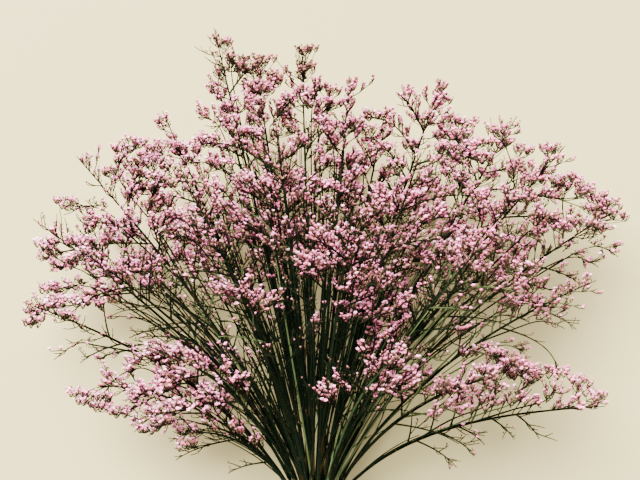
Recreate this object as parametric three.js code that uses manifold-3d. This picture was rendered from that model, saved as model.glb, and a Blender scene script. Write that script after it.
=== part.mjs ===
// A loose bunch of dried statice, laid on its side on a surface.
//
// Millimetres, +Z up. The bunch is grown in a frame of its own, with +X across it, +Y from the tie
// towards the flowers and +Z its upper side, and lay() then puts every point where it lies.
// Each cut stem arches out from the tie. Its crown carries arching side branches, whose outer part
// bears a band of floret clusters, and short sprigs that end in one cluster. A stem and all that
// grows on it is one skin.

import * as THREE from 'three';
import { mergeVertices } from 'three/addons/utils/BufferGeometryUtils.js';
import Module from 'manifold-3d';

const wasm = await Module();
wasm.setup();

const SEED = 2718;

// The bunch as it lies
const CUT_LENGTH = 196; // from the tie to the nearest cut end
const CUT_SPREAD = 14; // how much longer some stems are cut
const LEAN = THREE.MathUtils.degToRad(8); // the head lies on its lower flowers and holds the stems up
const TIE_HEIGHT = 42.7;
const HEAD_START = 40; // beyond this the sprays give way to the surface
const REST_HEIGHT = 3.8; // how near to the surface the middle of a pressed branch comes
const PRESS_DEPTH = 12;

// Stems, branches and sprigs
const STEM_RADIUS = 1.6;
const STEM_TIP_RADIUS = 0.9;
const BRANCH_RADIUS = 0.9;
const STEM_SIDES = 4;
const STEM_STEP = 48; // between a stem's rings
const STEM_PITCH = 3.5; // between the middles of neighbours in the tie
const BUNDLE_RADIUS = 10.4; // to the middle of the outermost stem in the tie
const DRAW = 0.96; // how far the tie then draws them together
const BUNDLE_SPREAD = 20; // how far a stem moves aside in the tie for the way it leans
const BUNDLE_FLARE = 0.45; // growth of the bundle from the tie to the cut ends
const SHORTEST_BRANCH = 18;
const RISE = 0.06; // how far a branch turns up towards the head's outside, as a share of its reach
const DOOR_SHARE = 0.5; // of a triangle's size, where a branch grows out of it
const DOOR_SIZE = 2.5; // the furthest that a door's corner is from its middle
const DOOR_FACING = 8; // how far a door may be from a root to face its branch
const DOOR_TRIES = 3;
const SPRIG_LENGTH = 24;
const SPRIG_SHARES = [0.1, 0.22, 0.34]; // of a side branch, where its sprigs leave it

// Clusters of florets
const CLUSTER_RADIUS = 7;
const CLUSTER_WAIST = 1.7;
const CLUSTER_STEP = 11.5; // along a branch
const CLUSTER_FLARE = 0.64; // of a step, from a cluster's waist to its rim
const CLUSTER_LIFT = 3.5; // of a band's middle over its branch
const BRANCH_SIDES = 3;
const BARE_SHARE = 0.4; // of a side branch, before its florets begin
const SPRIG_BARE_SHARE = 0.5;
const CROWN_TIP = 40; // the stretch of a stem's own tip that is in flower

const GAP = 0.4; // between neighbouring stems
const STEP = 4; // between the points that are kept clear of each other
const ROOT_ROOM = 15; // round a branch's root, where it is near to what it grows from

// Tie, a cord wound three times round the stems and knotted on the upper side
const TIE_ROOM = 8; // the stretch where the stems run straight
const TIE_BORE = 12.3;
const TIE_TURNS = 3;
const CORD_RADIUS = 1.05;
const TIE_SIDES = 20;
const KNOT_RADIUS = 2.9;
const TAILS = [{ hand: -1, length: 34 }, { hand: 1, length: 46 }];

// Each cut stem: the place of its tip in the bunch's frame (across, along, up), the length of its
// crown, the number and reach of its side branches, and its droop.
const STEMS = [
  // round the outline of the head, from its left over the top to its right
  { tip: [-94, 64, 24], crown: 70, branches: 7, reach: 40, droop: 0.5 },
  { tip: [-161, 98, 11], crown: 120, branches: 11, reach: 56, droop: 0.35 },
  { tip: [-216, 160, 12], crown: 150, branches: 12, reach: 60, droop: 0.21 },
  { tip: [-214, 222, -10], crown: 160, branches: 14, reach: 66, droop: 0.16 },
  { tip: [-176, 268, 14], crown: 160, branches: 14, reach: 66, droop: 0.14 },
  { tip: [-116, 304, -12], crown: 150, branches: 12, reach: 60, droop: 0.1 },
  { tip: [-75, 364, 5], crown: 180, branches: 15, reach: 54, droop: 0.06 },
  { tip: [-42, 326, 18], crown: 140, branches: 12, reach: 50, droop: 0.07 },
  { tip: [-10, 350, -6], crown: 160, branches: 14, reach: 54, droop: 0.05 },
  { tip: [26, 328, 10], crown: 140, branches: 12, reach: 50, droop: 0.07 },
  { tip: [54, 308, -14], crown: 140, branches: 12, reach: 54, droop: 0.05 },
  { tip: [94, 326, 8], crown: 150, branches: 12, reach: 54, droop: 0.08 },
  { tip: [153, 300, -9], crown: 150, branches: 12, reach: 60, droop: 0.08 },
  { tip: [186, 276, 8], crown: 150, branches: 12, reach: 60, droop: 0.12 },
  { tip: [230, 230, -6], crown: 150, branches: 12, reach: 62, droop: 0.2 },
  { tip: [208, 176, 12], crown: 120, branches: 11, reach: 54, droop: 0.22 },
  { tip: [213, 84, 19], crown: 150, branches: 14, reach: 40, droop: 0.2 },
  // its upper side
  { tip: [-56, 186, 94], crown: 100, branches: 11, reach: 54, droop: 0.25 },
  { tip: [60, 130, 92], crown: 90, branches: 9, reach: 54, droop: 0.35 },
  { tip: [28, 240, 106], crown: 120, branches: 12, reach: 60, droop: 0.15 },
  { tip: [-27, 286, 69], crown: 130, branches: 12, reach: 56, droop: 0.12 },
  { tip: [-90, 250, 75], crown: 120, branches: 12, reach: 56, droop: 0.17 },
  { tip: [-162, 196, 50], crown: 120, branches: 11, reach: 56, droop: 0.21 },
  { tip: [75, 268, 53], crown: 120, branches: 12, reach: 56, droop: 0.1 },
  { tip: [116, 204, 78], crown: 120, branches: 11, reach: 56, droop: 0.18 },
  { tip: [168, 226, 46], crown: 120, branches: 11, reach: 56, droop: 0.18 },
  { tip: [-116, 130, 51], crown: 90, branches: 8, reach: 48, droop: 0.34 },
  { tip: [132, 110, 48], crown: 90, branches: 8, reach: 48, droop: 0.3 },
  // its lower side, pressed on the surface
  { tip: [-100, 152, -84], crown: 110, branches: 9, reach: 56, droop: 0.2 },
  { tip: [-168, 208, -72], crown: 120, branches: 9, reach: 56, droop: 0.22 },
  { tip: [-110, 258, -88], crown: 130, branches: 9, reach: 60, droop: 0.13 },
  { tip: [-42, 284, -92], crown: 130, branches: 9, reach: 60, droop: 0.1 },
  { tip: [30, 276, -92], crown: 130, branches: 9, reach: 60, droop: 0.1 },
  { tip: [96, 262, -90], crown: 130, branches: 9, reach: 60, droop: 0.12 },
  { tip: [160, 212, -78], crown: 120, branches: 9, reach: 56, droop: 0.16 },
  { tip: [98, 148, -82], crown: 110, branches: 9, reach: 56, droop: 0.2 },
];

const X = new THREE.Vector3(1, 0, 0);
const Y = new THREE.Vector3(0, 1, 0);
const Z = new THREE.Vector3(0, 0, 1);

const mix = THREE.MathUtils.lerp;
const smooth = (value) => THREE.MathUtils.smoothstep(value, 0, 1);
const along = (from, direction, distance) => from.clone().addScaledVector(direction, distance);

// A number from 0 to 1 that depends only on the seed and on what it is drawn for.
function chance(...keys) {
  let bits = SEED;
  for (const key of keys) {
    bits = Math.imul(bits ^ (key + 1), 0x45d9f3b) >>> 0;
    bits = (bits ^ (bits >>> 15)) >>> 0;
  }
  bits = Math.imul(bits, 0x2c1b3c6d) >>> 0;
  return ((bits ^ (bits >>> 12)) >>> 0) / 2 ** 32;
}

// Puts a point of the bunch's frame where it lies. Low sprays are pressed flat by the bunch's weight.
function lay(place) {
  const laid = place.clone().applyAxisAngle(X, LEAN);
  laid.z += TIE_HEIGHT;
  const firm = REST_HEIGHT + PRESS_DEPTH;
  if (place.y > HEAD_START && laid.z < firm) {
    laid.z = REST_HEIGHT + PRESS_DEPTH * Math.exp((laid.z - firm) / PRESS_DEPTH);
  }
  return laid;
}

// The part of a direction that is square to an axis, as a unit vector.
function square(direction, axis) {
  return along(direction, axis, -direction.dot(axis)).normalize();
}

// ---------- how the stems grow ----------

// The way that a stem takes out of the tie: more upright than its tip lies, and more so if it droops.
function riseOf(start, { tip, droop }) {
  const chord = new THREE.Vector3(...tip).sub(start);
  return along(chord, Y, chord.length() * (0.8 + droop)).normalize();
}

// Where each stem passes through the tie: as near as the others let it to the side it leans to.
function packedSpots() {
  const spots = STEMS.map((given) => {
    const rise = riseOf(new THREE.Vector3(), given);
    return new THREE.Vector2(rise.x, rise.z).multiplyScalar(BUNDLE_SPREAD / rise.y);
  });
  const push = new THREE.Vector2();
  for (let round = 0; round < 400; round += 1) {
    for (let one = 0; one < spots.length; one += 1) {
      for (let other = 0; other < one; other += 1) {
        push.subVectors(spots[one], spots[other]);
        const short = STEM_PITCH - push.length();
        if (short > 0) {
          push.setLength(short / 2);
          spots[one].add(push);
          spots[other].sub(push);
        }
      }
    }
    spots.forEach((spot) => spot.clampLength(0, BUNDLE_RADIUS));
  }
  return spots.map((spot) => spot.multiplyScalar(DRAW));
}

// A stem's course from the tie to its tip: it rises with its neighbours, then leans out and droops.
function stemCurve(spot, given) {
  const start = new THREE.Vector3(spot.x, TIE_ROOM / 2, spot.y);
  const end = new THREE.Vector3(...given.tip);
  const chord = end.clone().sub(start);
  const length = chord.length();
  const fall = along(chord, Y, -length * 1.5 * given.droop).normalize();
  return new THREE.CubicBezierCurve3(start, along(start, riseOf(start, given), length * 0.36),
    along(end, fall, -length * 0.33), end);
}

// A stretch of a curve that is bare up to a share of its length and then in flower.
function makeBranch(curve, first, last, bare) {
  const start = curve.getPoint(first);
  const end = curve.getPoint(last);
  const out = end.clone().sub(start).setY(0).normalize();
  return { curve, first, last, bare, out, length: start.distanceTo(end) };
}

// A branch at a share of its length: its middle, its course, the way up to its florets, and how
// far it is in flower, from 0 on its bare part to 1.
function stateAt({ curve, first, last, bare, out, length }, share) {
  const t = mix(first, last, share);
  const course = curve.getTangent(t);
  const up = square(along(Y, out, 0.6), course);
  const bloom = smooth(((share - bare) * length) / CLUSTER_LIFT);
  return { place: curve.getPoint(t), course, up, bloom };
}

function ballAt(branch, share) {
  const { place, up, bloom } = stateAt(branch, share);
  return { at: lay(along(place, up, CLUSTER_LIFT * bloom)), radius: mix(1.4, CLUSTER_RADIUS, bloom) };
}

const taken = [];

// A ball is clear of all that has grown, apart from its own parent near the place where it leaves it.
function isClear(ball, parent, root) {
  return taken.every((other) => other.at.distanceTo(ball.at) > other.radius + ball.radius + GAP
    || (other.owner === parent && other.at.distanceTo(root) < ROOT_ROOM));
}

function take(branch, owner = branch) {
  const steps = Math.ceil(branch.length / STEP);
  for (let step = 0; step <= steps; step += 1) {
    taken.push({ ...ballAt(branch, step / steps), owner });
  }
}

// A side branch that leaves a parent on a given side, as long as it stays clear of all others.
function tryBranch(parent, share, turn, reach, bare) {
  const { place, course, up } = stateAt(parent, share);
  const side = up.clone().applyAxisAngle(course, turn);
  const bend = (ahead, aside, rise) => (
    along(along(along(place, course, reach * ahead), side, reach * aside), Y, reach * rise));
  const curve = new THREE.CubicBezierCurve3(place, bend(0.2, 0.2, 0), bend(0.38, 0.5, RISE),
    bend(0.46, 0.78, RISE));
  const whole = makeBranch(curve, 0, 1, bare);
  const steps = Math.ceil(whole.length / STEP);
  const root = lay(place);
  let step = 1;
  while (step < steps && isClear(ballAt(whole, (step + 1) / steps), parent, root)) {
    step += 1;
  }
  const branch = makeBranch(curve, 0, step / steps, bare);
  return { branch: { ...branch, sprigs: [], root: lay(along(place, side, STEM_TIP_RADIUS)) }, turn, side };
}

const TURNS = [0, 45, 90, 135, 180, 225, 270, 315].map(THREE.MathUtils.degToRad);

// The side branch that finds the most room round its stem, away from the one below it and rather
// across the bunch than up or down.
function growBranch(stem, crown, index, before) {
  const { branches, reach } = STEMS[stem];
  const share = (crown.bare * (index + 0.3 * chance(stem, index, 1))) / (branches - 0.7);
  const wanted = reach * (1 - 0.5 * share) * mix(0.85, 1.15, chance(stem, index, 2));
  const start = (Math.PI / 4) * chance(stem, index, 3);
  let best = { score: 0 };
  for (const turn of TURNS) {
    const trial = tryBranch(crown, share, turn + start, wanted, BARE_SHARE);
    const apart = before === undefined ? 1 : 1 - Math.cos(trial.turn - before);
    const flat = 1 - Math.abs(trial.side.z) + 0.3 * trial.side.y;
    trial.score = trial.branch.length * (0.4 + 0.6 * flat) * (0.5 + 0.5 * Math.min(1, apart));
    best = trial.score > best.score ? trial : best;
  }
  return best.branch.length < SHORTEST_BRANCH ? null : best;
}

// Sprigs stand on the inner part of a side branch, in turn on either hand of its upper side.
function growSprigs(branch, stem, index) {
  SPRIG_SHARES.forEach((share, number) => {
    const hand = number % 2 ? 1 : -1;
    const turn = hand * mix(0.4, 1.2, chance(stem, index, number, 5));
    const reach = SPRIG_LENGTH * mix(0.8, 1.2, chance(stem, index, number, 4));
    const { branch: sprig } = tryBranch(branch, share, turn, reach, SPRIG_BARE_SHARE);
    if (sprig.last > 0.65) {
      take(sprig);
      branch.sprigs.push(sprig);
    }
  });
}

// Grows the whole bunch: all stems first, then a branch for each in turn, so that they share the room.
function growBunch() {
  const spots = packedSpots();
  const plants = STEMS.map((given, stem) => {
    const curve = stemCurve(spots[stem], given);
    const total = curve.getLength();
    const first = 1 - given.crown / total;
    const crown = makeBranch(curve, first, 1, 1 - CROWN_TIP / given.crown);
    take(makeBranch(curve, 0.1, first, 1), crown);
    take(crown);
    return { spot: spots[stem], curve, total, crown, branches: [] };
  });
  const rounds = Math.max(...STEMS.map(({ branches }) => branches));
  for (let index = 0; index < rounds; index += 1) {
    plants.forEach((plant, stem) => {
      const best = index < STEMS[stem].branches ? growBranch(stem, plant.crown, index, plant.turn) : null;
      if (best) {
        take(best.branch);
        plant.branches.push(best.branch);
        plant.turn = best.turn;
      }
    });
  }
  plants.forEach(({ branches }, stem) => {
    branches.forEach((branch, index) => growSprigs(branch, stem, index));
  });
  return plants;
}

// ---------- solids ----------

// A closed skin of triangles that is grown ring by ring. A branch grows out of a small door in one
// of the triangles of its parent.
class Skin {
  points = [];

  faces = new Set();

  add(faces) {
    faces.forEach((face) => this.faces.add(face));
    return faces;
  }

  ring(place, course, up, sides, reach) {
    return Array.from({ length: sides }, (_, corner) => {
      const across = up.clone().applyAxisAngle(course, (2 * Math.PI * corner) / sides);
      return this.points.push(along(place, across, reach(corner))) - 1;
    });
  }

  // Joins two rings of the same number of corners.
  wall(low, high) {
    return this.add(low.flatMap((from, corner) => {
      const next = (corner + 1) % low.length;
      return [[from, low[next], high[corner]], [low[next], high[next], high[corner]]];
    }));
  }

  // Ends a ring in one point.
  tip(ring, place) {
    const top = this.points.push(place) - 1;
    return this.add(ring.map((from, corner) => [from, ring[(corner + 1) % ring.length], top]));
  }

  middleOf(ring) {
    const middle = new THREE.Vector3();
    ring.forEach((point) => middle.addScaledVector(this.points[point], 1 / ring.length));
    return middle;
  }

  // The places for a door in a parent's walls, from the one that is nearest to a branch's root and
  // faces the way ahead best.
  doorways(walls, root, ahead) {
    return walls.filter((face) => this.faces.has(face)).map((face) => {
      const plate = new THREE.Triangle(...face.map((point) => this.points[point]));
      const middle = plate.closestPointToPoint(root, new THREE.Vector3());
      middle.lerp(plate.getMidpoint(new THREE.Vector3()), 0.3);
      const facing = plate.getNormal(new THREE.Vector3()).dot(ahead.clone().sub(middle).normalize());
      return { face, middle, score: DOOR_FACING * facing - middle.distanceTo(root) };
    }).sort((one, other) => other.score - one.score);
  }

  // Opens a door and returns its rim.
  door({ face, middle }) {
    this.faces.delete(face);
    const rim = face.map((point) => {
      const corner = this.points[point].clone().sub(middle);
      const share = Math.min(DOOR_SHARE, DOOR_SIZE / corner.length());
      return this.points.push(along(middle, corner, share)) - 1;
    });
    this.wall(face, rim);
    return rim;
  }

  // Whether an edge of one face runs through the other.
  cuts(face, other) {
    const plate = other.map((point) => this.points[point]);
    const ray = new THREE.Ray();
    return face.some((from, corner) => {
      const to = face[(corner + 1) % 3];
      if (other.includes(from) || other.includes(to)) {
        return false;
      }
      ray.origin.copy(this.points[from]);
      ray.lookAt(this.points[to]);
      const hit = ray.intersectTriangle(...plate, false, new THREE.Vector3());
      return hit !== null && hit.distanceTo(ray.origin) < this.points[to].distanceTo(ray.origin);
    });
  }

  boxOf(face) {
    return new THREE.Box3().setFromPoints(face.map((point) => this.points[point]));
  }

  // Grows something onto the skin, and takes it back if it would run through the skin or itself.
  attempt(grow) {
    const faces = new Set(this.faces);
    const points = this.points.length;
    grow();
    const boxes = new Map([...this.faces].map((face) => [face, this.boxOf(face)]));
    const fresh = [...this.faces].filter((face) => !faces.has(face));
    const crossed = fresh.some((face) => [...boxes].some(([other, box]) => (
      box.intersectsBox(boxes.get(face)) && (this.cuts(face, other) || this.cuts(other, face)))));
    if (crossed) {
      this.faces = faces;
      this.points.length = points;
    }
    return !crossed;
  }

  // Turns the skin into a solid, cut flat where it rests on the surface.
  solid() {
    const body = new wasm.Manifold(new wasm.Mesh({
      numProp: 3,
      vertProperties: new Float32Array(this.points.flatMap((point) => point.toArray())),
      triVerts: new Uint32Array([...this.faces].flat()),
    }));
    return body.trimByPlane([0, 0, 1], 0);
  }
}

// The rings of a stretch in flower: a chain of floret clusters, each a funnel that flares from its
// waist to a ragged rim.
function clusterRings(branch, key) {
  const { bare, length } = branch;
  const clusters = Math.max(1, Math.round(((1 - bare) * length) / CLUSTER_STEP));
  const step = (1 - bare) / clusters;
  const rings = [];
  for (let cluster = 0; cluster < clusters; cluster += 1) {
    const size = CLUSTER_RADIUS * mix(0.8, 1, chance(...key, cluster));
    rings.push({ share: bare + step * (cluster + CLUSTER_FLARE), size, ragged: true });
    rings.push({ share: bare + step * (cluster + 1), size: CLUSTER_WAIST });
  }
  return rings.map((ring) => {
    const { place, up, bloom } = stateAt(branch, ring.share);
    return { ...ring, place: lay(along(place, up, CLUSTER_LIFT * bloom)) };
  });
}

// Grows a skin along rings, from a rim or a flat end to a point, and then all that branches off it.
function growSkin(skin, rings, sides, rim, children, key) {
  let low = rim;
  let walls = [];
  let up = rim ? skin.points[rim[0]].clone().sub(skin.middleOf(rim)) : Z;
  rings.forEach(({ place, size, ragged }, index) => {
    const before = rings[Math.max(index - 1, 0)].place;
    const after = rings[Math.min(index + 1, rings.length - 1)].place;
    const course = after.clone().sub(before).normalize();
    up = square(up, course);
    if (index === rings.length - 1) {
      walls = walls.concat(skin.tip(low, place));
      return;
    }
    const high = skin.ring(place, course, up, sides, (corner) => (
      ragged ? size * mix(0.7, 1, chance(...key, index, corner, 7)) : size));
    if (low) {
      walls = walls.concat(skin.wall(low, high));
    } else {
      skin.add(high.slice(2).map((corner, at) => [high[0], corner, high[at + 1]]));
    }
    low = high;
  });
  children.forEach((child, index) => {
    const childKey = [...key, index + 1];
    const { place } = stateAt(child, child.bare);
    const childRings = [{ place: lay(place), size: BRANCH_RADIUS }, ...clusterRings(child, childKey)];
    skin.doorways(walls, child.root, childRings[0].place).slice(0, DOOR_TRIES).some((doorway) => (
      skin.attempt(() => (
        growSkin(skin, childRings, BRANCH_SIDES, skin.door(doorway), child.sprigs, childKey)))));
  });
}

// A whole cut stem, from its flat cut end through the tie to the tip of its crown.
function stemSolid({ spot, curve, total, crown, branches }, stem) {
  const cut = CUT_LENGTH + CUT_SPREAD * chance(stem, 6);
  const flare = 1 + BUNDLE_FLARE * (cut / CUT_LENGTH);
  const bloom = mix(crown.first, 1, crown.bare);
  const rings = [{ place: new THREE.Vector3(spot.x * flare, -cut, spot.y * flare), size: STEM_RADIUS }];
  const steps = Math.round((total * bloom) / STEM_STEP);
  for (let step = 0; step <= steps; step += 1) {
    const share = step / steps;
    rings.push({ place: curve.getPoint(share * bloom), size: mix(STEM_RADIUS, STEM_TIP_RADIUS, share) });
  }
  rings.forEach((ring) => {
    ring.place = lay(ring.place);
  });
  const skin = new Skin();
  growSkin(skin, [...rings, ...clusterRings(crown, [stem, 0])], STEM_SIDES, null, branches, [stem]);
  return skin.solid();
}

function solidOf(geometry) {
  geometry.deleteAttribute('normal');
  geometry.deleteAttribute('uv');
  const { attributes, index } = mergeVertices(geometry);
  return new wasm.Manifold(new wasm.Mesh({
    numProp: 3,
    vertProperties: attributes.position.array,
    triVerts: new Uint32Array(index.array),
  }));
}

// A loose end of the cord, from the knot down one side of the bundle towards the cut ends.
function tailSolid({ hand, length }) {
  const steps = 5;
  const rings = Array.from({ length: steps + 1 }, (_, step) => {
    const share = step / steps;
    const around = hand * 0.9 * smooth(share);
    const radius = TIE_BORE + 2 * CORD_RADIUS + 0.4 + 3 * share * share;
    const place = new THREE.Vector3(radius * Math.sin(around), -length * share, radius * Math.cos(around));
    return { place: lay(place), size: CORD_RADIUS * 0.8 };
  });
  const skin = new Skin();
  growSkin(skin, rings, STEM_SIDES, null, [], []);
  return skin.solid();
}

// The cord's turns, its knot and its ends.
function tieSolid() {
  const half = TIE_TURNS * CORD_RADIUS;
  const profile = [new THREE.Vector2(TIE_BORE, -half)];
  for (let turn = 0; turn < TIE_TURNS; turn += 1) {
    const low = -half + 2 * turn * CORD_RADIUS;
    profile.push(new THREE.Vector2(TIE_BORE + CORD_RADIUS, low),
      new THREE.Vector2(TIE_BORE + 1.9 * CORD_RADIUS, low + 0.6 * CORD_RADIUS),
      new THREE.Vector2(TIE_BORE + 1.9 * CORD_RADIUS, low + 1.4 * CORD_RADIUS));
  }
  profile.push(new THREE.Vector2(TIE_BORE + CORD_RADIUS, half));
  profile.push(new THREE.Vector2(TIE_BORE, half), profile[0]);
  const wound = new THREE.LatheGeometry(profile, TIE_SIDES);
  const knot = new THREE.IcosahedronGeometry(KNOT_RADIUS, 1).translate(0, -0.8, TIE_BORE + 2 * CORD_RADIUS);
  const parts = [wound, knot].map((geometry) => (
    solidOf(geometry.rotateX(LEAN).translate(0, 0, TIE_HEIGHT))));
  return wasm.Manifold.union([...parts, ...TAILS.map(tailSolid)]);
}

function meshOf(name, body, material) {
  const { vertProperties, triVerts } = body.getMesh();
  const geometry = new THREE.BufferGeometry();
  geometry.setAttribute('position', new THREE.BufferAttribute(vertProperties, 3));
  geometry.setIndex(new THREE.BufferAttribute(triVerts, 1));
  const mesh = new THREE.Mesh(geometry, material);
  mesh.name = name;
  return mesh;
}

const driedStatice = new THREE.MeshStandardMaterial({ color: 0xb98e95, roughness: 0.9, metalness: 0 });

const twine = new THREE.MeshStandardMaterial({ color: 0xb59a6a, roughness: 0.95, metalness: 0 });

const bunch = new THREE.Group();
growBunch().forEach((plant, stem) => {
  bunch.add(meshOf(`stem_${String(stem + 1).padStart(2, '0')}`, stemSolid(plant, stem), driedStatice));
});
bunch.add(meshOf('tie', tieSolid(), twine));

// The origin is under the middle of the bunch.
const middle = new THREE.Box3().setFromObject(bunch).getCenter(new THREE.Vector3());
bunch.position.set(-middle.x, -middle.y, 0);

export default bunch;
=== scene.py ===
import functools
import itertools
import math

import bpy
import numpy as np
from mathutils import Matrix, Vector


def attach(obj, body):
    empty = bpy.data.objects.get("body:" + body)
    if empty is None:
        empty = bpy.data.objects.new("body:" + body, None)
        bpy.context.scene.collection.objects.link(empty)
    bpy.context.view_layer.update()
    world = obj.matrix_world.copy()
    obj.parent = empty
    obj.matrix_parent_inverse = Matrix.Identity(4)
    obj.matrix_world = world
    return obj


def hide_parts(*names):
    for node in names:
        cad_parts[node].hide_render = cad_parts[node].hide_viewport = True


bl_info = {
    "name": "Dried Statice Bunch",
    "version": (1, 0, 0),
    "blender": (4, 5, 0),
    "location": "View3D > Sidebar > Statice",
    "description": "Builds a tied bunch of dried statice that lies on its side",
    "category": "Add Mesh",
}

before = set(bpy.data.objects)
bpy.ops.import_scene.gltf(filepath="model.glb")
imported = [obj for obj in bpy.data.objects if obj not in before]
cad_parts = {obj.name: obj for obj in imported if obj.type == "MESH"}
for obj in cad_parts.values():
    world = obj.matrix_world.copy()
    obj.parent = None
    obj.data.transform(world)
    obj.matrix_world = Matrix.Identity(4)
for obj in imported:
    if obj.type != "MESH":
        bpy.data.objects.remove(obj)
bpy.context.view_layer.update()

MM = 0.001
SEED = 2718

# The bunch as it lies, in millimetres. Its own frame has X across it, Y from the tie towards the
# flowers and Z its upper side.
ORIGIN = np.array([9.007, 75.161, 0.0])  # of the scene, from the floor under the tie
CUT_LENGTH = 196  # from the tie to the nearest cut end
CUT_SPREAD = 14
LEAN = math.radians(8)  # of the bunch, with its head up
TIE_HEIGHT = 42.7
HEAD_START = 40  # along, past which low sprays are pressed
REST_HEIGHT = 3.8  # of the most pressed sprays
PRESS_DEPTH = 12
STEM_PITCH = 3.5  # between the stems in the tie
BUNDLE_RADIUS = 10.4
PACKING_ROUNDS = 400
DRAW = 0.96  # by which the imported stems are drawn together
BUNDLE_SPREAD = 20  # past the tie, where the stems' ways out first set their spots
BUNDLE_FLARE = 0.45  # by which the bundle widens towards its cut ends
SHORTEST_BRANCH = 18
SHORTEST_SPRIG = 0.65  # as a share of its full length
RISE = 0.06  # of a side branch towards the flowers, as a share of its reach
SPRIG_LENGTH = 24
SPRIG_SHARES = (0.1, 0.22, 0.34)  # of a branch, where its sprigs stand
CLUSTER_RADIUS = 7
CLUSTER_STEP = 11.5
CLUSTER_FLARE = 0.64  # of a step, where the head of a cluster is
CLUSTER_LIFT = 3.5  # of the florets above their branch
BARE_SHARE = 0.4  # of a branch below its florets
SPRIG_BARE_SHARE = 0.5
CROWN_TIP = 40  # of a stem in flower
GAP = 0.4  # between the branches of different stems
STEP = 4  # between the balls that keep a branch's room
TWIG_ROOM = 1.4  # the radius of a ball where a branch is bare
MOST_BALLS = 20000
ROOT_ROOM = 15  # round a fork, where branches may touch
TIE_ROOM = 8  # along the stems, for the tie
TIE_BORE = 12.3
TIE_TURNS = 3
TWIST = 6  # of the plies of the twine, in millimetres a turn
TAILS = ((-1, 34), (1, 46))  # the ends of the twine: the side that each bends to, and its length

# Each cut stem: the place of its tip, the length of its crown, the number and reach of its side
# branches, and its droop.
STEMS = (
    # round the outline of the head, from its left over the top to its right
    ((-94, 64, 24), 70, 7, 40, 0.5),
    ((-161, 98, 11), 120, 11, 56, 0.35),
    ((-216, 160, 12), 150, 12, 60, 0.21),
    ((-214, 222, -10), 160, 14, 66, 0.16),
    ((-176, 268, 14), 160, 14, 66, 0.14),
    ((-116, 304, -12), 150, 12, 60, 0.1),
    ((-75, 364, 5), 180, 15, 54, 0.06),
    ((-42, 326, 18), 140, 12, 50, 0.07),
    ((-10, 350, -6), 160, 14, 54, 0.05),
    ((26, 328, 10), 140, 12, 50, 0.07),
    ((54, 308, -14), 140, 12, 54, 0.05),
    ((94, 326, 8), 150, 12, 54, 0.08),
    ((153, 300, -9), 150, 12, 60, 0.08),
    ((186, 276, 8), 150, 12, 60, 0.12),
    ((230, 230, -6), 150, 12, 62, 0.2),
    ((208, 176, 12), 120, 11, 54, 0.22),
    ((213, 84, 19), 150, 14, 40, 0.2),
    # its upper side
    ((-56, 186, 94), 100, 11, 54, 0.25),
    ((60, 130, 92), 90, 9, 54, 0.35),
    ((28, 240, 106), 120, 12, 60, 0.15),
    ((-27, 286, 69), 130, 12, 56, 0.12),
    ((-90, 250, 75), 120, 12, 56, 0.17),
    ((-162, 196, 50), 120, 11, 56, 0.21),
    ((75, 268, 53), 120, 12, 56, 0.1),
    ((116, 204, 78), 120, 11, 56, 0.18),
    ((168, 226, 46), 120, 11, 56, 0.18),
    ((-116, 130, 51), 90, 8, 48, 0.34),
    ((132, 110, 48), 90, 8, 48, 0.3),
    # its lower side, pressed on the surface
    ((-100, 152, -84), 110, 9, 56, 0.2),
    ((-168, 208, -72), 120, 9, 56, 0.22),
    ((-110, 258, -88), 130, 9, 60, 0.13),
    ((-42, 284, -92), 130, 9, 60, 0.1),
    ((30, 276, -92), 130, 9, 60, 0.1),
    ((96, 262, -90), 130, 9, 60, 0.12),
    ((160, 212, -78), 120, 9, 56, 0.16),
    ((98, 148, -82), 110, 9, 56, 0.2),
)

# The parts of the head, each with the numbers of its stems.
HEAD_PARTS = {
    "left": range(0, 6),
    "crown": range(6, 12),
    "right": range(12, 17),
    "upper_left": (17, 20, 21, 22, 26),
    "upper_right": (18, 19, 23, 24, 25, 27),
    "under": range(28, 36),
}

# Where the lower half of the head is in full flower, as ellipses (across, along, half width, half
# length) of the bunch's own frame. Round them the stems and twigs are nearly bare.
TUFTS = (
    (-112, 98, 58, 32), (-150, 82, 40, 18), (-45, 172, 26, 14), (-64, 100, 14, 12), (-50, 69, 12, 7),
    (36, 150, 34, 22), (57, 120, 20, 26), (104, 96, 26, 16), (165, 106, 70, 26), (112, 154, 14, 16),
    (165, 174, 60, 24), (-190, 176, 50, 22), (-200, 154, 24, 15), (60, 174, 50, 16), (12, 100, 11, 11),
)
FULL_FLOWER = 180

# Where the full head has a darker gap, given in the same way.
GAPS = (
    (104, 168, 34, 22), (-50, 192, 26, 14), (146, 218, 12, 16), (4, 262, 10, 8), (64, 188, 16, 12),
    (-20, 260, 24, 9),
)

# Where hardly any twigs grow between the stems.
CLEARINGS = (
    (155, 132, 20, 12), (124, 150, 32, 12), (-130, 156, 40, 14), (76, 76, 42, 24), (150, 76, 42, 11),
    (184, 182, 22, 17), (-184, 176, 12, 8),
)

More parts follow.
